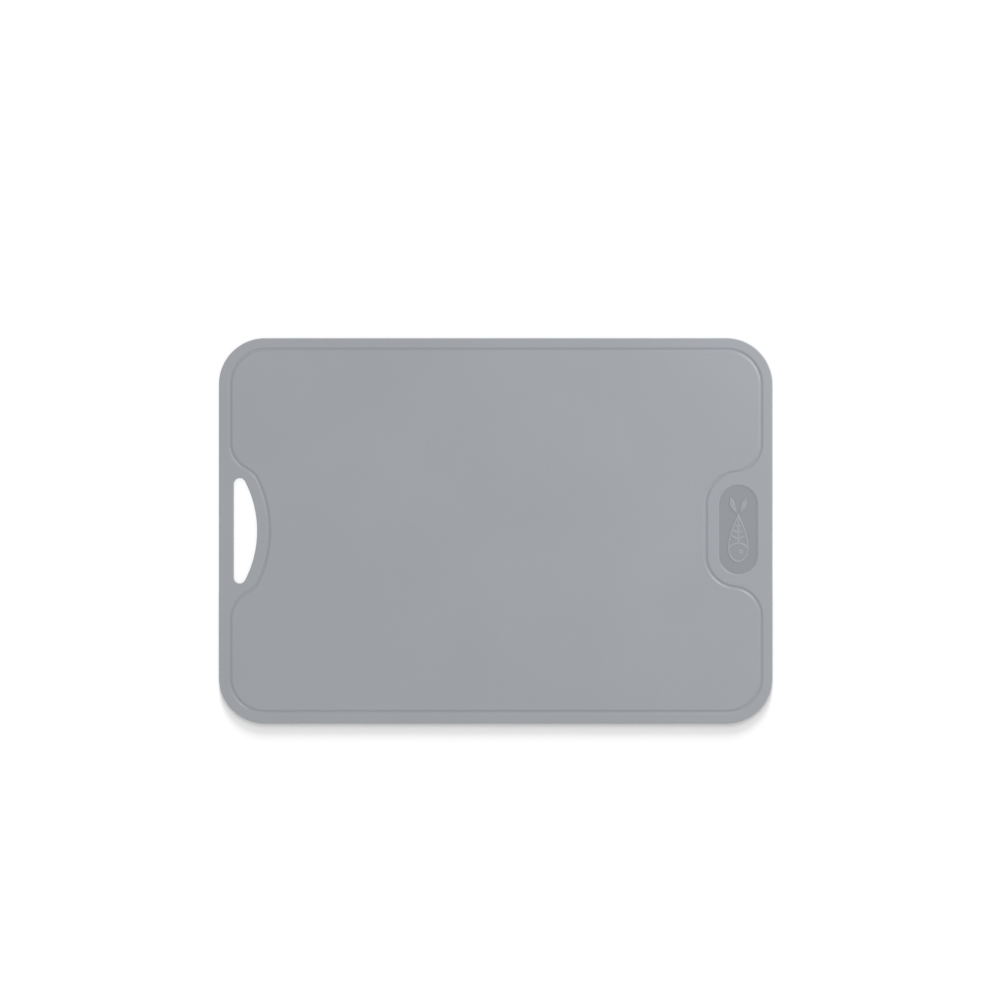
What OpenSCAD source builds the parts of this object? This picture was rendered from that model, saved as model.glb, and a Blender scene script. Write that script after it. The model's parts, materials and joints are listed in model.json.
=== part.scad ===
// Flexible cutting mat, in millimetres.
// It is one moulded sheet with a juice groove near its edge, a D-shaped slot at one end,
// to hold it or hang it by, and a sunk badge with a plain fish at the other end.
// The sheet bends along its length. So it is divided into a flat middle panel and narrow
// strips on both sides of it, and each strip turns about the seam that it starts at.
// The origin is at the middle of the underside, with the slot at -X, the badge at +X and +Z up.

/* [Sheet] */
// Length of the mat
mat_length = 360; // [300:1:440]
// Width of the mat
mat_width = 250.5; // [206:0.5:310]
// Thickness of the mat
mat_thickness = 2; // [1.6:0.1:3]
// Radius of the mat's corners
corner_r = 30; // [24:1:40]

/* [Bending] */
// Width of the flat middle panel, from seam to seam
middle_width = 98; // [84:1:116]
// Number of strips on each side of the middle panel
strips = 8; // [3:1:8]
// Gap at each seam, wide enough for the strips to turn
seam_gap = 0.3; // [0.2:0.05:0.5]

/* [Juice groove] */
// Distance from the mat's edge to the middle of the groove
groove_inset = 7.5; // [6:0.1:9.5]
// Width of the groove
groove_width = 2.4; // [1.6:0.1:3.2]
// Depth of the groove
groove_depth = 0.8; // [0.4:0.1:1.2]
// Radius where the groove turns off its straight run, round the slot and the badge
bay_blend_r = 19; // [12:0.5:24]

/* [Handle slot] */
// Distance from the mat's end to the slot's straight side
slot_bar = 9.6; // [8:0.1:13]
// Width of the slot at its middle
slot_width = 15.2; // [12:0.1:19]
// Radius of the slot's curved side
slot_curve_r = 70; // [58:1:84]
// Radius of the slot's ends
slot_end_r = 3.9; // [3:0.1:4.8]
// Distance from the slot to the middle of the groove round it
slot_margin = 7.9; // [7:0.1:11]
// Radius of the groove's corners at the slot's ends
slot_bay_corner_r = 16.6; // [12:0.1:20]

/* [Badge] */
// Width of the badge
badge_width = 25.5; // [20:0.5:31]
// Length of the badge, with its round ends
badge_length = 58.5; // [48:0.5:64]
// Depth of the badge's floor below the mat's face
badge_depth = 0.5; // [0.3:0.1:0.9]
// Distance from the mat's end to the badge
badge_edge = 9.7; // [8:0.1:12]
// Distance of the badge's middle from the mat's middle line
badge_y = 0.6; // [-2:0.1:3]
// Distance from the badge to the middle of the groove round it
badge_margin = 8.2; // [7:0.1:10]

/* [Fish] */
// Length of the fish, from its nose to its tail's tips
fish_length = 44; // [36:0.5:46]
// Width of the fish's body
fish_width = 14.5; // [11:0.5:17]
// Length of the fish's tail
tail_length = 11; // [8:0.5:13]
// Width of the fish's tail
tail_width = 12; // [9:0.5:15]
// Height of the fish above the badge's floor
fish_height = 0.3; // [0.2:0.05:0.3]

/* [Hidden] */

mat_grey = [0.36, 0.375, 0.39];
// Largest distance between a drawn arc and the true one
arc_flatness = 0.02;
// Overshoot of the cutting shapes
over = 1;

strip_pitch = (mat_width - middle_width) / 2 / strips;

// The slot: the curved side's middle lies on the X axis, and each end is a small arc
// that touches both the straight side and the curved one.
slot_x = -mat_length / 2 + slot_bar;
slot_curve_x = slot_x + slot_width - slot_curve_r;
slot_end_x = slot_x + slot_end_r;
slot_end_y = sqrt(pow(slot_curve_r - slot_end_r, 2) - pow(slot_end_x - slot_curve_x, 2));
slot_end_angle = atan2(slot_end_y, slot_end_x - slot_curve_x);

// The groove's middle line: its straight runs, and its corners
line_x = mat_length / 2 - groove_inset;
line_y = mat_width / 2 - groove_inset;
line_corner_r = corner_r - groove_inset;

// The bay round the slot: an arc along the curved side, a corner at each end of it,
// and a blend from each corner to the straight run
bay_curve_r = slot_curve_r + slot_margin;
slot_bay_y = slot_end_y + slot_end_r + slot_margin - slot_bay_corner_r;
slot_bay_x = slot_curve_x + sqrt(pow(bay_curve_r - slot_bay_corner_r, 2) - pow(slot_bay_y, 2));
slot_bay_angle = atan2(slot_bay_y, slot_bay_x - slot_curve_x);
slot_blend_x = -line_x + bay_blend_r;
slot_blend_reach = slot_bay_corner_r + bay_blend_r;
slot_blend_angle = acos((slot_blend_x - slot_bay_x) / slot_blend_reach);
slot_blend_y = slot_bay_y + slot_blend_reach * sin(slot_blend_angle);

// The bay round the badge: a straight run, a corner round each end of the badge,
// and a blend from each corner to the straight run at the mat's end
badge_r = badge_width / 2;
badge_x = mat_length / 2 - badge_edge - badge_r;
badge_half = (badge_length - badge_width) / 2;
badge_bay_r = badge_r + badge_margin;
badge_blend_x = line_x - bay_blend_r;
badge_blend_reach = badge_bay_r + bay_blend_r;
badge_blend_angle = acos((badge_blend_x - badge_x) / badge_blend_reach);
badge_blend_y = badge_half + badge_blend_reach * sin(badge_blend_angle);

// The fish stands on its nose: its body is a drop, an oval head with straight sides that leave it
// at head_turn degrees past its widest points and meet at the tail's root
head_stretch = 1.35;
head_y = badge_y - fish_length / 2 + head_stretch * fish_width / 2;
tail_root_y = badge_y + fish_length / 2 - tail_length;
tail_root_width = 2;
head_turn = asin(head_stretch * fish_width / 2 / (tail_root_y - head_y));

// Points along an arc, in steps fine enough for arc_flatness
function arc(centre, r, from, to) =
    let (steps = ceil(abs(to - from) / (2 * acos(1 - arc_flatness / r))))
    [for (i = [0:steps]) let (a = from + (to - from) * i / steps) centre + r * [cos(a), sin(a)]];

// A rectangle with round corners, round the origin
function round_rectangle(half_x, half_y, r) = concat(
    arc([half_x - r, half_y - r], r, 0, 90),
    arc([r - half_x, half_y - r], r, 90, 180),
    arc([r - half_x, r - half_y], r, 180, 270),
    arc([half_x - r, r - half_y], r, 270, 360)
);

// The slot's outline, anticlockwise
function slot_outline() = concat(
    arc([slot_curve_x, 0], slot_curve_r, -slot_end_angle, slot_end_angle),
    arc([slot_end_x, slot_end_y], slot_end_r, slot_end_angle, 180),
    arc([slot_end_x, -slot_end_y], slot_end_r, 180, 360 - slot_end_angle)
);

// The badge's outline, anticlockwise
function badge_outline() = concat(
    arc([badge_x, badge_y + badge_half], badge_r, 0, 180),
    arc([badge_x, badge_y - badge_half], badge_r, 180, 360)
);

// The groove's way down past the slot, moved outwards from its middle line by d
function slot_bay(d) = concat(
    arc([slot_blend_x, slot_blend_y], bay_blend_r + d, 180, 180 + slot_blend_angle),
    arc([slot_bay_x, slot_bay_y], slot_bay_corner_r - d, slot_blend_angle, slot_bay_angle),
    arc([slot_curve_x, 0], bay_curve_r - d, slot_bay_angle, -slot_bay_angle),
    arc([slot_bay_x, -slot_bay_y], slot_bay_corner_r - d, -slot_bay_angle, -slot_blend_angle),
    arc([slot_blend_x, -slot_blend_y], bay_blend_r + d, 180 - slot_blend_angle, 180)
);

// The groove's way up past the badge, moved outwards from its middle line by d
function badge_bay(d) = concat(
    arc([badge_blend_x, badge_y - badge_blend_y], bay_blend_r + d, 0, 180 - badge_blend_angle),
    arc([badge_x, badge_y - badge_half], badge_bay_r - d, 360 - badge_blend_angle, 180),
    arc([badge_x, badge_y + badge_half], badge_bay_r - d, 180, badge_blend_angle),
    arc([badge_blend_x, badge_y + badge_blend_y], bay_blend_r + d, 180 + badge_blend_angle, 360)
);

// The whole groove's line, anticlockwise, moved outwards by d
function groove_loop(d) = let (r = line_corner_r) concat(
    arc([line_x - r, line_y - r], r + d, 0, 90),
    arc([r - line_x, line_y - r], r + d, 90, 180),
    slot_bay(d),
    arc([r - line_x, r - line_y], r + d, 180, 270),
    arc([line_x - r, r - line_y], r + d, 270, 360),
    badge_bay(d)
);

// The fish's outline, anticlockwise: round its head, and then round its forked tail
function fish_outline() = concat(
    [for (p = arc([0, 0], fish_width / 2, 180 - head_turn, 360 + head_turn))
        [badge_x + p[0], head_y + head_stretch * p[1]]],
    [
        [badge_x + tail_root_width / 2, tail_root_y],
        [badge_x + tail_width / 2, badge_y + fish_length / 2],
        [badge_x, tail_root_y + tail_length / 2],
        [badge_x - tail_width / 2, badge_y + fish_length / 2],
        [badge_x - tail_root_width / 2, tail_root_y]
    ]
);

module groove_cut() {
    translate([0, 0, mat_thickness - groove_depth])
    linear_extrude(groove_depth + over)
    difference() {
        polygon(groove_loop(groove_width / 2));
        polygon(groove_loop(-groove_width / 2));
    }
}

module badge_cut() {
    translate([0, 0, mat_thickness - badge_depth])
    linear_extrude(badge_depth + over)
    difference() {
        polygon(badge_outline());
        polygon(fish_outline());
    }
    translate([0, 0, mat_thickness - badge_depth + fish_height])
    linear_extrude(badge_depth)
    polygon(fish_outline());
}

// The whole mat, before it is divided
module sheet() {
    difference() {
        linear_extrude(mat_thickness)
        difference() {
            polygon(round_rectangle(mat_length / 2, mat_width / 2, corner_r));
            polygon(slot_outline());
        }
        groove_cut();
        badge_cut();
    }
}

// The part of the mat between two lines along its length
module band(low_y, high_y) {
    intersection() {
        sheet();
        translate([-mat_length / 2 - over, low_y, -over])
        cube([mat_length + 2 * over, high_y - low_y, mat_thickness + 2 * over]);
    }
}

// The flat middle of the mat, with the slot and the badge
module middle_panel() {
    color(mat_grey)
    band(-middle_width / 2 + seam_gap / 2, middle_width / 2 - seam_gap / 2);
}

// Strip i behind the middle panel, counted outwards; the last one ends at the mat's edge
module rear_strip(i) {
    low_y = middle_width / 2 + (i - 1) * strip_pitch + seam_gap / 2;
    high_y = i < strips ? low_y + strip_pitch - seam_gap : mat_width / 2 + over;
    color(mat_grey)
    band(low_y, high_y);
}

// Strip i in front of the middle panel, counted outwards
module front_strip(i) {
    high_y = -middle_width / 2 - (i - 1) * strip_pitch - seam_gap / 2;
    low_y = i < strips ? high_y - strip_pitch + seam_gap : -mat_width / 2 - over;
    color(mat_grey)
    band(low_y, high_y);
}

middle_panel();
for (i = [1:strips]) {
    rear_strip(i);
    front_strip(i);
}
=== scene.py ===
import json

import bpy
import numpy as np
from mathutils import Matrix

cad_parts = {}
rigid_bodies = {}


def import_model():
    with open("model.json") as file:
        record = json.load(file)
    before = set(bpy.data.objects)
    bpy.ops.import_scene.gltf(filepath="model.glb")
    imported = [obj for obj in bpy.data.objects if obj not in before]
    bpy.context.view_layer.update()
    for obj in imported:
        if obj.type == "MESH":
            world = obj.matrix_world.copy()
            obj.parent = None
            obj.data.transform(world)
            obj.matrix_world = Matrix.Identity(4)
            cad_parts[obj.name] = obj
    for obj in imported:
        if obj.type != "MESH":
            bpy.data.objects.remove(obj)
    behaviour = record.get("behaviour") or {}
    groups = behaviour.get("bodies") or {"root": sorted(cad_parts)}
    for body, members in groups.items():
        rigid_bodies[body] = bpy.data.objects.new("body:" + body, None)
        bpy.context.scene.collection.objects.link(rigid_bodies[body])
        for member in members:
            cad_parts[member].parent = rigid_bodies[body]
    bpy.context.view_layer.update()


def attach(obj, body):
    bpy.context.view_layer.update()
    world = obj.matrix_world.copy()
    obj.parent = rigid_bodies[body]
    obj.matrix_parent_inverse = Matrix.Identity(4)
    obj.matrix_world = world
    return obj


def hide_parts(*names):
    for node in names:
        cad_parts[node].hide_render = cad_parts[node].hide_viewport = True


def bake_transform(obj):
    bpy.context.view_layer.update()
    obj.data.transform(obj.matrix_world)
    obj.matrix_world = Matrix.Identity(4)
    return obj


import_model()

# The flat middle of the mat, which never bends: one moulding of soft grey plastic with the D-shaped
# slot to hold it by, the juice groove that swings round the slot and the badge, and the badge
# itself, a sunk oval that the mould leaves polished, with a plain fish standing up from its floor.

LENGTH, WIDTH, THICK, CORNER = 360, 250.5, 2, 30  # in mm, like every size of the mat here
PANEL = 98  # width of the middle panel, from seam to seam
STRIPS = 8  # strips on each side of it
PITCH = (WIDTH - PANEL) / 2 / STRIPS
REACH = 1.366 * PITCH  # half the width of the bend at a seam
CORNER_X, CORNER_Y = LENGTH / 2 - CORNER, WIDTH / 2 - CORNER


def ridge(away, half):
    """A rounded ridge: 1 on its line and 0 at half its width from it."""
    return np.cos(np.clip(away / half, -1, 1) * np.pi / 2) ** 2


def rise(inside, width):
    """A rounded step: 0 at an outline and 1 from this distance inside it."""
    t = np.clip(inside / width, 0, 1)
    return t * t * (3 - 2 * t)


INSET = 7.5  # from the mat's edge to the groove's middle line
GROOVE = np.linspace(2, -2, 25)  # its profile's lines, from the outside in
GROOVE_DEPTH, GROOVE_HALF = 0.8, 1.7
GROOVE_TOP = THICK - GROOVE_DEPTH * ridge(GROOVE, GROOVE_HALF)
LINE_X, LINE_R = LENGTH / 2 - INSET, CORNER - INSET
BLEND_R = 19  # where the groove turns off its straight run

SLOT_X, SLOT_R, SLOT_END_R = -170.4, 70, 3.9  # its straight side, its curved side and its ends
SLOT_WIDTH = 15.2
SLOT_MARGIN = 7.9  # from the slot to the groove's middle line
SLOT_CURVE_X = SLOT_X + SLOT_WIDTH - SLOT_R
SLOT_END_X = SLOT_X + SLOT_END_R
SLOT_END_Y = np.sqrt((SLOT_R - SLOT_END_R) ** 2 - (SLOT_END_X - SLOT_CURVE_X) ** 2)
SLOT_BAY_R = SLOT_R + SLOT_MARGIN
SLOT_CORNER_R = 16.6
SLOT_CORNER_Y = SLOT_END_Y + SLOT_END_R + SLOT_MARGIN - SLOT_CORNER_R
SLOT_CORNER_X = SLOT_CURVE_X + np.sqrt((SLOT_BAY_R - SLOT_CORNER_R) ** 2 - SLOT_CORNER_Y**2)
SLOT_CORNER_TURN = np.arctan2(SLOT_CORNER_Y, SLOT_CORNER_X - SLOT_CURVE_X)
SLOT_BLEND_X = BLEND_R - LINE_X
SLOT_BLEND_TURN = np.arccos((SLOT_BLEND_X - SLOT_CORNER_X) / (SLOT_CORNER_R + BLEND_R))
SLOT_BLEND_Y = SLOT_CORNER_Y + (SLOT_CORNER_R + BLEND_R) * np.sin(SLOT_BLEND_TURN)

BADGE_X, BADGE_Y = 157.55, 0.6
BADGE_R, BADGE_HALF = 12.75, 16.5  # its round ends, and half of its straight sides
BADGE_MARGIN = 8.2  # from the badge to the groove's middle line
BADGE_BAY_R = BADGE_R + BADGE_MARGIN
BADGE_BLEND_X = LINE_X - BLEND_R
BADGE_BLEND_TURN = np.arccos((BADGE_BLEND_X - BADGE_X) / (BADGE_BAY_R + BLEND_R))
BADGE_BLEND_Y = BADGE_HALF + (BADGE_BAY_R + BLEND_R) * np.sin(BADGE_BLEND_TURN)


def half_chord(r, away):
    """Half the chord of a circle of radius r, at a distance from its middle."""
    return np.sqrt(np.maximum(r * r - away * away, 0))


def outline(y, inset):
    """The mat's outline at each y, as a distance from its middle line: straight, then a corner."""
    away = np.maximum(np.abs(y) - CORNER_Y, 0)
    return CORNER_X + half_chord(CORNER - inset, away)


def slot_side(y, out):
    """x of the groove at the slot's end, at each y. From the middle it is an arc along the slot, a
    corner, a blend, the straight run and the mat's corner; moved outwards, each radius changes."""
    y = np.abs(y)
    bay, corner, blend = SLOT_BAY_R - out, SLOT_CORNER_R - out, BLEND_R + out
    return np.select(
        [
            y <= bay * np.sin(SLOT_CORNER_TURN),
            y <= SLOT_CORNER_Y + corner * np.sin(SLOT_BLEND_TURN),
            y <= SLOT_BLEND_Y,
        ],
        [
            SLOT_CURVE_X + half_chord(bay, y),
            SLOT_CORNER_X + half_chord(corner, y - SLOT_CORNER_Y),
            SLOT_BLEND_X - half_chord(blend, SLOT_BLEND_Y - y),
        ],
        -CORNER_X - half_chord(LINE_R + out, np.maximum(y - CORNER_Y, 0)),
    )


def badge_side(y, out):
    """x of the groove at the badge's end, at each y: straight along the badge, a corner round the
    badge's end, a blend, the straight run and the mat's corner."""
    away = np.abs(y - BADGE_Y)
    bay, blend = BADGE_BAY_R - out, BLEND_R + out
    return np.select(
        [away <= BADGE_HALF + bay * np.sin(BADGE_BLEND_TURN), away <= BADGE_BLEND_Y],
        [
            BADGE_X - half_chord(bay, np.maximum(away - BADGE_HALF, 0)),
            BADGE_BLEND_X + half_chord(blend, BADGE_BLEND_Y - away),
        ],
        CORNER_X + half_chord(LINE_R + out, np.maximum(np.abs(y) - CORNER_Y, 0)),
    )


def rows(low, high, step):
    """y from low to high, in even steps along the groove at the badge's end."""
    y = np.linspace(low, high, 4001)
    way = np.append(0, np.cumsum(np.hypot(np.diff(badge_side(y, 0)), np.diff(y))))
    return np.interp(np.linspace(0, way[-1], round(way[-1] / step) + 1), way, y)


def patch(x, y, z):
    """A grid of points (rows, columns, 3) from coordinates that are each a grid, row or column."""
    return np.stack(np.broadcast_arrays(x, y, z), axis=2)


def between(a, b, shares):
    """Lines between line a and line b, at these shares of the way, as columns."""
    return a[:, None] + (b - a)[:, None] * np.asarray(shares)


SHARP = np.radians(35)  # faces that meet at more than this show an edge


def solid(name, top, bottom):
    """A closed piece from the patches of its upper side and of its underside. Each cell of a patch
    is cut in two along its shorter diagonal, equal points become one, and wherever the upper side
    ends, a wall goes down to the point of the underside with the same x and y."""

    def side(patches, up):
        points = np.concatenate([p.reshape(-1, 3) for p in patches])
        faces, first = [], 0
        for p in patches:
            at = first + np.arange(p.shape[0] * p.shape[1]).reshape(p.shape[:2])
            corners = at[:-1, :-1], at[:-1, 1:], at[1:, 1:], at[1:, :-1]
            a, b, c, d = (corner.ravel() for corner in corners)
            across = np.linalg.norm(points[b] - points[d], axis=1)
            long = np.linalg.norm(points[a] - points[c], axis=1) > across
            faces.append(np.stack([a, b, np.where(long, d, c)], 1))
            faces.append(np.stack([np.where(long, b, a), c, d], 1))
            first += at.size
        _, kept, joined = np.unique(
            np.round(points, 5), axis=0, return_index=True, return_inverse=True
        )
        points, faces = points[kept], joined.reshape(-1)[np.concatenate(faces)]
        u, v = points[faces[:, 1]] - points[faces[:, 0]], points[faces[:, 2]] - points[faces[:, 0]]
        area = (u[:, 0] * v[:, 1] - u[:, 1] * v[:, 0]) * (1 if up else -1)
        faces = np.where((area < 0)[:, None], faces[:, ::-1], faces)
        least = 1e-9  # a face of joined points has no area
        return points, faces[np.abs(area) > least]

    upper, faces = side(top, True)
    lower, under = side(bottom, False)
    start, end = faces.ravel(), faces[:, [1, 2, 0]].ravel()
    open_edge = ~np.isin(start * len(upper) + end, end * len(upper) + start)
    start, end = start[open_edge], end[open_edge]
    flat = np.round(np.concatenate([upper, lower])[:, :2], 4)
    place = np.unique(flat, axis=0, return_inverse=True)[1].reshape(-1)
    below = np.full(place.max() + 1, -1)
    below[place[len(upper) :]] = len(upper) + np.arange(len(lower))
    foot_start, foot_end = below[place[start]], below[place[end]]
    assert foot_start.min() >= 0 and foot_end.min() >= 0, name + ": the two sides don't meet"
    walls = [np.stack([start, foot_start, foot_end], 1), np.stack([start, foot_end, end], 1)]
    mesh = bpy.data.meshes.new(name)
    points = np.concatenate([upper, lower]) / 1000
    mesh.from_pydata(points, [], np.concatenate([faces, under + len(upper), *walls]))
    is_under = np.repeat(np.float32([0, 1]), [len(upper), len(lower)])
    mesh.attributes.new("underside", "FLOAT", "POINT").data.foreach_set("value", is_under)
    mesh.shade_smooth()
    mesh.set_sharp_from_angle(angle=SHARP)
    piece = bpy.data.objects.new(name, mesh)
    bpy.context.scene.collection.objects.link(piece)
    return piece


# A moulded edge: round above, a little sharper below. Its profile's lines lie at these distances
# from the edge, and the last two are on the flat.
EDGE_R, UNDER_R = 0.8, 0.35
EDGE = np.append(EDGE_R * (1 - np.cos(np.radians(np.arange(0, 91, 15)))), [0.95, 1.3])
EDGE_TOP = THICK - EDGE_R + half_chord(EDGE_R, np.maximum(EDGE_R - EDGE, 0))
EDGE_BOTTOM = UNDER_R - half_chord(UNDER_R, np.maximum(UNDER_R - EDGE, 0))


def loop(centre_x, centre_y, radius, turn):
    """A closed outline as rows of centre, radius and direction, so that an offset is exact."""
    arcs = [np.broadcast_arrays(*arc) for arc in zip(centre_x, centre_y, radius, turn)]
    return [np.concatenate(row) for row in zip(*arcs)]


def ring(outline_parts, offsets):
    """The lines at these offsets outside a closed outline, as x and y grids that close."""
    centre_x, centre_y, radius, turn = (np.append(part, part[:1]) for part in outline_parts)
    reach = radius + np.asarray(offsets)[:, None]
    return centre_x + reach * np.cos(turn), centre_y + reach * np.sin(turn)


def frame_loop(y, right, left, n):
    """Round a patch of the panel, anticlockwise: up its right line, back along its end, down its
    left line and along its other end, with n points inside each end."""
    shares = np.linspace(0, 1, n + 2)[1:-1]
    last = right[-1] + (left[-1] - right[-1]) * shares
    first = left[0] + (right[0] - left[0]) * shares
    x = [right, last, left[::-1], first]
    y = [y, np.full(n, y[-1]), y[::-1], np.full(n, y[0])]
    return [np.append(np.concatenate(part), part[0][:1]) for part in (x, y)]


def widened(inner, outer, shares):
    """Lines from a ring's last line to a loop round it, at these shares of the way."""
    shares = np.asarray(shares)[:, None]
    return [i[-1] * (1 - shares) + o * shares for i, o in zip(inner, outer)]


panel_y = rows(-PANEL / 2 + REACH, PANEL / 2 - REACH, 0.33)  # fine enough for the fish
count = len(panel_y)
column = panel_y[:, None]
left_edge, right_edge = -outline(column, EDGE), outline(column, EDGE[::-1])
left_groove, right_groove = slot_side(column, GROOVE), badge_side(column, GROOVE[::-1])
field = between(left_groove[:, -1], right_groove[:, 0], np.linspace(0, 1, 13))
panel = [
    (left_edge, EDGE_TOP, EDGE_BOTTOM),
    (left_groove, GROOVE_TOP, 0),
    (field, THICK, 0),
    (right_groove, GROOVE_TOP, 0),
    (right_edge, EDGE_TOP[::-1], EDGE_BOTTOM[::-1]),
]
panel_top = [patch(x, column, high) for x, high, _ in panel]
panel_bottom = [patch(x, column, low) for x, _, low in panel]

# The slot, its lip rounded like the mat's edge
slot_turn = np.arctan2(SLOT_END_Y, SLOT_END_X - SLOT_CURVE_X)
end_turns = np.linspace(slot_turn, np.pi, 30)[1:-1]
slot = loop(
    [SLOT_CURVE_X, SLOT_END_X, SLOT_X, SLOT_END_X],
    [0, SLOT_END_Y, np.linspace(SLOT_END_Y, -SLOT_END_Y, count), -SLOT_END_Y],
    [SLOT_R, SLOT_END_R, 0, SLOT_END_R],
    [np.linspace(-slot_turn, slot_turn, count), end_turns, np.pi, 2 * np.pi - end_turns[::-1]],
)
slot_lip = ring(slot, EDGE[:-1])
slot_bay = frame_loop(panel_y, left_groove[:, 0], left_edge[:, -1], len(end_turns))
RINGS = [0, 0.3, 0.65, 1]  # the flat lines round the slot and round the badge
slot_flat = widened(slot_lip, slot_bay, RINGS)
panel_top += [patch(*slot_lip, EDGE_TOP[:-1, None]), patch(*slot_flat, THICK)]
panel_bottom += [patch(*slot_lip, EDGE_BOTTOM[:-1, None]), patch(*slot_flat, 0)]

# The badge: a fine bead round it, a rounded wall, and a flat floor. Its wall's lines lie at these
# distances from its outline.
BADGE_WALL = np.array(
    [1.4, 1.25, 1.1, 0.95, 0.8, 0.65, 0.5, 0.35, 0.2, 0.1, 0]
    + [-0.1, -0.2, -0.3, -0.4, -0.55, -0.75, -1.1]
)
BADGE_DEPTH = 0.5
BADGE_BEAD = 0.03 * ridge(BADGE_WALL - 0.7, 0.55)
BADGE_TOP = THICK + BADGE_BEAD - BADGE_DEPTH * rise(0.3 - BADGE_WALL, 0.85)

# Each point of the loop round the badge is joined to the nearest point of the badge's middle line,
# and the badge's lines cross that join at right angles.
badge_bay = frame_loop(panel_y, right_edge[:, 0], right_groove[:, -1], 60)
badge_spine = [
    np.full_like(badge_bay[0], BADGE_X),
    np.clip(badge_bay[1], BADGE_Y - BADGE_HALF, BADGE_Y + BADGE_HALF),
]
badge_turn = np.arctan2(badge_bay[1] - badge_spine[1], badge_bay[0] - badge_spine[0])


def badge_rings(radii):
    """Lines at these distances from the badge's middle line, as x and y grids."""
    radii = np.asarray(radii)[:, None]
    turned = np.cos(badge_turn), np.sin(badge_turn)
    return [middle + radii * part for middle, part in zip(badge_spine, turned)]


badge_wall = badge_rings(BADGE_R + BADGE_WALL)
badge_flat = widened(badge_rings([BADGE_R + BADGE_WALL[0]]), badge_bay, RINGS)
panel_top += [patch(*badge_flat, THICK), patch(*badge_wall, BADGE_TOP[:, None])]
panel_bottom += [patch(*(np.stack(pair) for pair in zip(badge_bay, badge_spine)), 0)]


def fish(x, y):
    """Height above the badge's floor. The body is a long drop: an oval to the nose, and sides whose
    width falls as a cosine to the tail, with a raised outline, a domed flank, a backbone, four
    pairs of ribs that sweep to the tail, a gill and an eye. The tail is two leaves, each with a
    vein. A raised line is a ridge, times a rise at each outline or line that it stops at."""
    u, v = x - BADGE_X, y - BADGE_Y
    head, root = -12, 11.5  # v where the body is widest and where its tail starts
    half = 7.1  # half its width
    line, wide, soft = 0.28, 0.8, 0.6  # a raised line's height, its half width and its ends' length
    blunt = 0.72  # the width of the nose's oval over its length
    turn = np.pi / 2 * np.clip((v - head) / (root - head), 0, 1)
    slope = half * np.pi / 2 / (root - head) * np.sin(turn)
    inside = (half * np.cos(turn) - np.abs(u)) / np.sqrt(1 + slope**2)
    inside = np.where(v < head, half - np.hypot(u, blunt * (v - head)), inside)
    inside = np.where(v > root, -np.hypot(u, v - root), inside)
    dome = 0.06 * (1 - (1 - np.clip(inside / 5, 0, 1)) ** 2)
    height = dome + 0.12 * rise(inside, soft)

    outline_line = line * ridge(inside - 0.9, wide)
    gill = np.hypot(u, v + 16) - 7.2
    gill_line = line * ridge(gill, wide) * rise(v + 13.5, 1.5) * rise(inside - 0.8, soft)
    backbone = line * ridge(u, wide) * rise(gill, soft) * rise(inside, soft)
    flank = rise(gill - 0.2, soft) * rise(inside - 1.5, soft)
    ribs = [line * ridge(v - rib - 0.45 * np.abs(u), 0.9) * flank for rib in (-6, -2, 2, 6)]
    eye = np.hypot(u - 1.6, v + 14.2)
    eye_ring = line * rise(1.8 - eye, 0.9) - 0.2 * rise(0.9 - eye, soft)
    lines = np.max([outline_line, gill_line, backbone, *ribs, eye_ring], axis=0)
    height += lines * rise(inside, 0.3)

    foot, tip = np.array([0.1, 9.2]), np.array([5.2, 21.4])
    long = np.linalg.norm(tip - foot)
    along = (tip - foot) / long
    for side in (-1, 1):
        right, up = u * side - foot[0], v - foot[1]
        share = np.clip((right * along[0] + up * along[1]) / long, 0, 1)
        off = right * along[1] - up * along[0] - 0.7 * np.sin(share * np.pi)
        leaf = 1.95 * np.sin(share**1.3 * np.pi) - np.abs(off)
        vein = 0.16 * ridge(off, 0.45) * rise(leaf - 0.5, 0.5)
        height = np.maximum(height, 0.44 * rise(leaf, 0.8) - vein)
    return height


floor = badge_rings((BADGE_R + BADGE_WALL[-1]) * np.linspace(1, 0, 52))
panel_top.append(patch(*floor, THICK - BADGE_DEPTH + fish(*floor)))
middle = solid("mat_middle", panel_top, panel_bottom)


class Wire:
    """A value that runs between a material's nodes. A sum on it adds the Math node."""

    def __init__(self, tree, socket=None):
        self.tree, self.socket = tree, socket

    def node(self, kind, settings, inputs, output=0):
        """Adds a node: first its settings, then its sockets by name or number."""
        made = self.tree.nodes.new(kind)
        for name, value in settings.items():
            setattr(made, name, value)
        for name, value in inputs.items():
            if isinstance(value, Wire):
                self.tree.links.new(value.socket, made.inputs[name])
            else:
                made.inputs[name].default_value = value
        return Wire(self.tree, made.outputs[output]) if made.outputs else made

    def maths(self, operation, *values):
        return self.node("ShaderNodeMath", {"operation": operation}, dict(enumerate(values)))

    def __add__(self, other):
        return self.maths("ADD", self, other)

    def __sub__(self, other):
        return self.maths("SUBTRACT", self, other)

    def __rsub__(self, other):
        return self.maths("SUBTRACT", other, self)

    def __mul__(self, other):
        return self.maths("MULTIPLY", self, other)

    def __pow__(self, other):
        return self.maths("POWER", self, other)

    def __abs__(self):
        return self.maths("ABSOLUTE", self)

    __radd__, __rmul__ = __add__, __mul__


def step(value, low, high):
    """0 below low, 1 above high, and smooth between."""
    inputs = {"Value": value, "From Min": low, "From Max": high}
    return value.node("ShaderNodeMapRange", {"interpolation_type": "SMOOTHSTEP"}, inputs)


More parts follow.
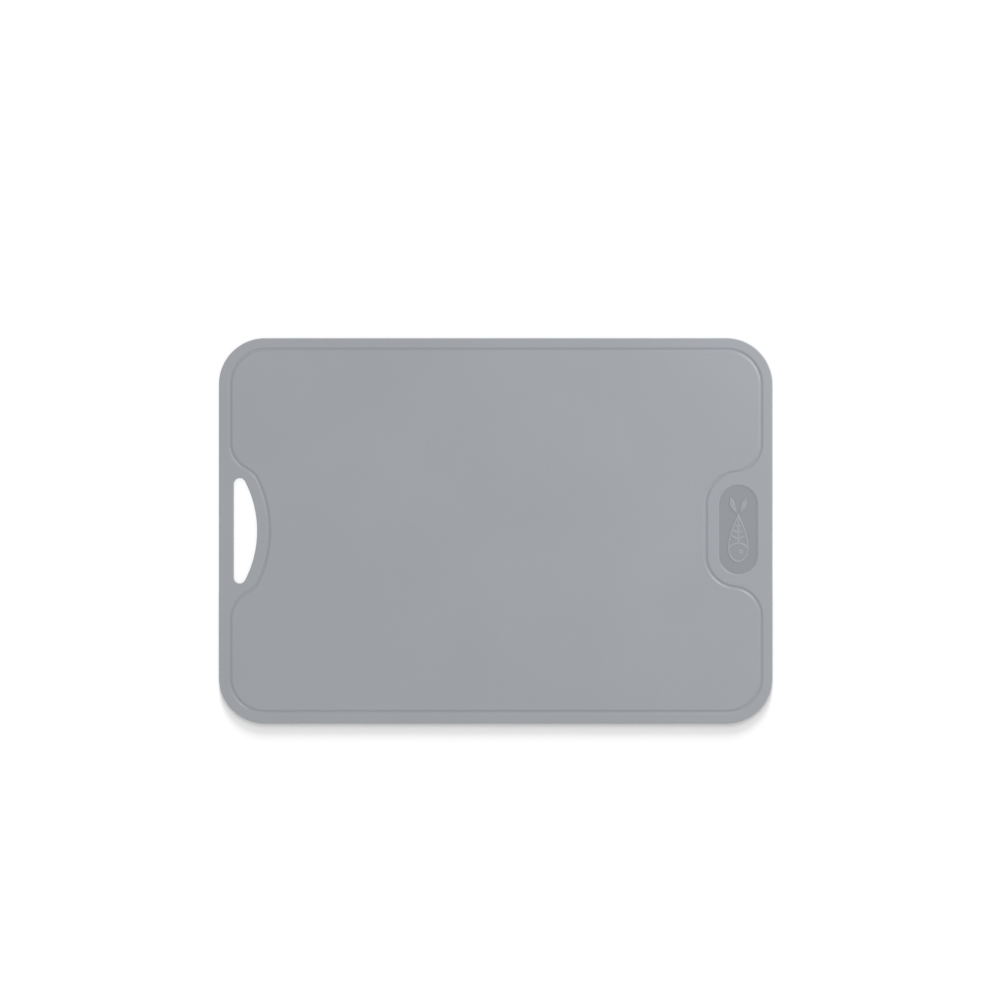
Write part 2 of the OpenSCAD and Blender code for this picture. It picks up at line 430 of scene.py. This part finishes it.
# Soft grey plastic from a blasted mould: satin, with a fine even grain and a hardly seen mottle.
# The badge's floor was polished in the mould, so it is smoother and a shade darker. The fish's
# raised lines weren't.
plastic = bpy.data.materials.new("grey_moulded_plastic")
plastic.use_nodes = True
plastic.node_tree.nodes.clear()
start = Wire(plastic.node_tree)
place = start.node("ShaderNodeTexCoord", {}, {}, "Object")
under = start.node("ShaderNodeAttribute", {"attribute_name": "underside"}, {}, "Fac")
x, y, z = (start.node("ShaderNodeSeparateXYZ", {}, {"Vector": place}, axis) for axis in "XYZ")
past_end = start.maths("MAXIMUM", abs(y - BADGE_Y / 1000) - BADGE_HALF / 1000, 0)
aside = x - BADGE_X / 1000
from_badge = (aside * aside + past_end * past_end) ** 0.5 - BADGE_R / 1000
# In metres: the fish rises out of the polish, and the polish ends just inside the badge's outline.
raised = step(z - (THICK - BADGE_DEPTH) / 1000, 0.0001, 0.0004)
polished = (1 - step(from_badge, -0.0006, -0.0002)) * (1 - under) * (1 - raised)


def noise(scale, detail):
    inputs = {"Vector": place, "Scale": scale, "Detail": detail, "Roughness": 0.5}
    return start.node("ShaderNodeTexNoise", {}, inputs, "Fac")


def mix(factor, low, high):
    """A colour between two, which are the Mix node's colour inputs 6 and 7."""
    settings, inputs = {"data_type": "RGBA"}, {"Factor": factor, 6: low, 7: high}
    return start.node("ShaderNodeMix", settings, inputs, 2)


DARK_GREY = (0.327, 0.340, 0.366, 1)
PALE_GREY = (0.342, 0.355, 0.382, 1)
POLISHED_GREY = (0.268, 0.281, 0.303, 1)
mottle = noise(14, 3)
grain = noise(2600, 2)
blotch = noise(420, 2)
tone = mottle * 0.6 + blotch * 0.25 + grain * 0.15
grey = mix(polished, mix(step(tone, 0.3, 0.7), DARK_GREY, PALE_GREY), POLISHED_GREY)
roughness = 0.28 + blotch * 0.08 + under * 0.15 - polished * 0.14
relief = grain * 0.7 + blotch * 0.3
strength = 0.22 * (1 - polished * 0.9)
bump = start.node(
    "ShaderNodeBump", {}, {"Strength": strength, "Distance": 0.00004, "Height": relief}
)
shader = start.node(
    "ShaderNodeBsdfPrincipled",
    {},
    {"Base Color": grey, "Roughness": roughness, "Normal": bump, "IOR": 1.48},
)
start.node("ShaderNodeOutputMaterial", {}, {"Surface": shader})

middle.data.materials.append(plastic)
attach(middle, "middle")
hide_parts("middle_panel")

# The mat on both sides of its middle, which curls up when its long edges are lifted. It is the same
# sheet: each skin here spans one seam of the strips below it. The last one ends at the mat's long
# edge.

RIM = [0.2, 0.4, 0.6, 0.8]
FIELD = [0.004, 0.03, 0.1, 0.2, 0.35, 0.5, 0.65, 0.8, 0.9, 0.97, 0.996]
TONGUE = np.array([0.015, 0.16])  # how far its two lines reach past the skin's end
SUNK = 0.02  # and how far they lie under the next skin's surface


def strip(y, side):
    """The upper side and the underside of a skin that ends at the mat's two ends. On the outside of
    the curl two skins part by up to 0.11 mm, so the outer end of each has a tongue, hidden in the
    next one, that closes that gap."""
    y = y[::side]
    sunk = np.append(0 * y, [SUNK, SUNK])[:, None]
    column = np.append(y, y[-1] + side * TONGUE)[:, None]
    left_edge, right_edge = -outline(column, EDGE), outline(column, EDGE[::-1])
    left, right = slot_side(column, GROOVE), badge_side(column, GROOVE[::-1])
    x = [
        left_edge,
        between(left_edge[:, -1], left[:, 0], RIM),
        left,
        between(left[:, -1], right[:, 0], FIELD),
        right,
        between(right[:, -1], right_edge[:, 0], RIM),
        right_edge,
    ]
    x = np.concatenate(x, axis=1) * (1 - sunk / (LENGTH / 2))
    rim, field = np.full(len(RIM), THICK), np.full(len(FIELD), THICK)
    high = np.concatenate([EDGE_TOP, rim, GROOVE_TOP, field, GROOVE_TOP, rim, EDGE_TOP[::-1]])
    low = np.zeros(len(high))
    low[: len(EDGE)], low[-len(EDGE) :] = EDGE_BOTTOM, EDGE_BOTTOM[::-1]
    return [patch(x, column, high - sunk)], [patch(x, column, low + sunk)]


def edge_strip(low_y, side):
    """The same for the last skin: the edge's and the groove's profiles carried along the mat's
    outline, from its one end round the corner, along the side and round the other corner, and
    then straight rows down to low_y."""
    rim = EDGE[-1] + (INSET - GROOVE[0] - EDGE[-1]) * np.asarray(RIM)
    inset = np.concatenate([EDGE, rim, INSET - GROOVE])[:, None]
    high = np.concatenate([EDGE_TOP, np.full(len(rim), THICK), GROOVE_TOP])[:, None]
    low = np.concatenate([EDGE_BOTTOM, np.zeros(len(rim) + len(GROOVE))])[:, None]
    radius = CORNER - inset
    first = np.arcsin((low_y - CORNER_Y) / radius)
    turn = first + (np.pi / 2 - first) * np.linspace(0, 1, 64)
    x, y = CORNER_X + radius * np.cos(turn), CORNER_Y + radius * np.sin(turn)
    y[:, 0] = low_y
    run = CORNER_X * np.linspace(1, -1, 40)[1:-1] + 0 * radius
    x = np.concatenate([x, run, -x[:, ::-1]], axis=1)
    y = np.concatenate([y, CORNER_Y + radius + 0 * run, y[:, ::-1]], axis=1)
    shares = np.linspace(0, 1, 12)[:, None]
    field_y = y[-1] * (1 - shares) + low_y * shares
    return (
        [patch(x, y * side, high), patch(x[-1], field_y * side, THICK)],
        [patch(x, y * side, low), patch(x[-1], field_y * side, 0)],
    )


for name, side in (("rear", 1), ("front", -1)):
    for k in range(1, STRIPS + 1):
        seam = PANEL / 2 + (k - 1) * PITCH
        low_y = seam - (REACH if k == 1 else PITCH / 2)
        if k < STRIPS:
            high_y = seam + PITCH / 2
            sides = strip(rows(*sorted((low_y * side, high_y * side)), 0.5), side)
        else:
            sides = edge_strip(low_y, side)
        skin = solid(f"mat_{name}_{k}", *sides)
        skin.data.materials.append(plastic)
        side * (seam - REACH) / 1000
        side * (seam + REACH) / 1000
        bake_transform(skin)
        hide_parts(f"{name}_strip_{k}")

# The studio: a pale table in an even white room, seen from straight above. Two lamps behind on the
# right light only the mat, so that the groove's far walls shine. Two low suns behind the mat light
# only the table, and the mat's front half shades them.

# The table ends far outside every view, and lies a hair under the mat.
corners = [(x, y, -0.00005) for x, y in ((-4, -4), (4, -4), (4, 4), (-4, 4))]
table = bpy.data.objects.new("table", bpy.data.meshes.new("table"))
table.data.from_pydata(corners, [], [(0, 1, 2, 3)])
bpy.context.scene.collection.objects.link(table)
white = bpy.data.materials.new("white_table")
white.use_nodes = True
white.node_tree.nodes.clear()
start = Wire(white.node_tree)
paint = start.node("ShaderNodeBsdfDiffuse", {}, {"Color": (0.735, 0.735, 0.735, 1)})
start.node("ShaderNodeOutputMaterial", {}, {"Surface": paint})
table.data.materials.append(white)


def linked(name, objects, state="INCLUDE"):
    """A collection that lights only these objects, or all but these."""
    group = bpy.data.collections.new(name)
    for made in objects:
        group.objects.link(made)
    for entry in group.collection_objects:
        entry.light_linking.link_state = state
    return group


def lamp(name, kind, turn, height, away=1, **settings):
    """A lamp in a direction, in degrees from +X and above the table, that shines at the middle."""
    made = bpy.data.objects.new(name, bpy.data.lights.new(name, kind))
    for setting, value in settings.items():
        setattr(made.data, setting, value)
    turn, height = np.radians(turn), np.radians(height)
    level = away * np.cos(height)
    made.location = level * np.cos(turn), level * np.sin(turn), away * np.sin(height)
    made.rotation_euler = made.location.to_track_quat("Z", "Y").to_euler()
    bpy.context.scene.collection.objects.link(made)
    return made


off_table = linked("off_table", [table], "EXCLUDE")
for made in (
    lamp("key", "AREA", 50, 35, 2.6, size=0.8, energy=10),
    lamp("near", "AREA", 30, 20, 0.6, size=0.25, energy=0.65),
):
    made.light_linking.receiver_collection = off_table
only_table = linked("only_table", [table])
front = linked("front_half", [o for o in bpy.data.objects if o.name.startswith("mat_front_")])
# Each sun's height and spread, in degrees, and the light that it gives the level table
for name, height, spread, light in (("skim_low", 10.5, 13, 0.365), ("skim_high", 30, 30, 0.22)):
    energy = light * np.pi / np.sin(np.radians(height))
    made = lamp(name, "SUN", 90, height, angle=np.radians(spread), energy=energy)
    made.light_linking.receiver_collection = only_table
    made.light_linking.blocker_collection = front

world = bpy.data.worlds.new("room")
bpy.context.scene.world = world
world.use_nodes = True
world.node_tree.nodes.clear()
start = Wire(world.node_tree)
seen = start.node("ShaderNodeLightPath", {}, {}, "Is Camera Ray")
strength = 0.85 + seen * 0.15
glow = start.node("ShaderNodeBackground", {}, {"Color": (1, 1, 1, 1), "Strength": strength})
start.node("ShaderNodeOutputWorld", {}, {"Surface": glow})

VIEW = 0.65  # the picture's width at the mat's face, in metres
camera = bpy.data.objects.new("camera", bpy.data.cameras.new("camera"))
camera.data.lens = 85
above = VIEW * camera.data.lens / camera.data.sensor_width + THICK / 1000
camera.location = (0.00278, 0.02003, above)
bpy.context.scene.collection.objects.link(camera)
bpy.context.scene.camera = camera
bpy.context.scene.view_settings.view_transform = "Standard"
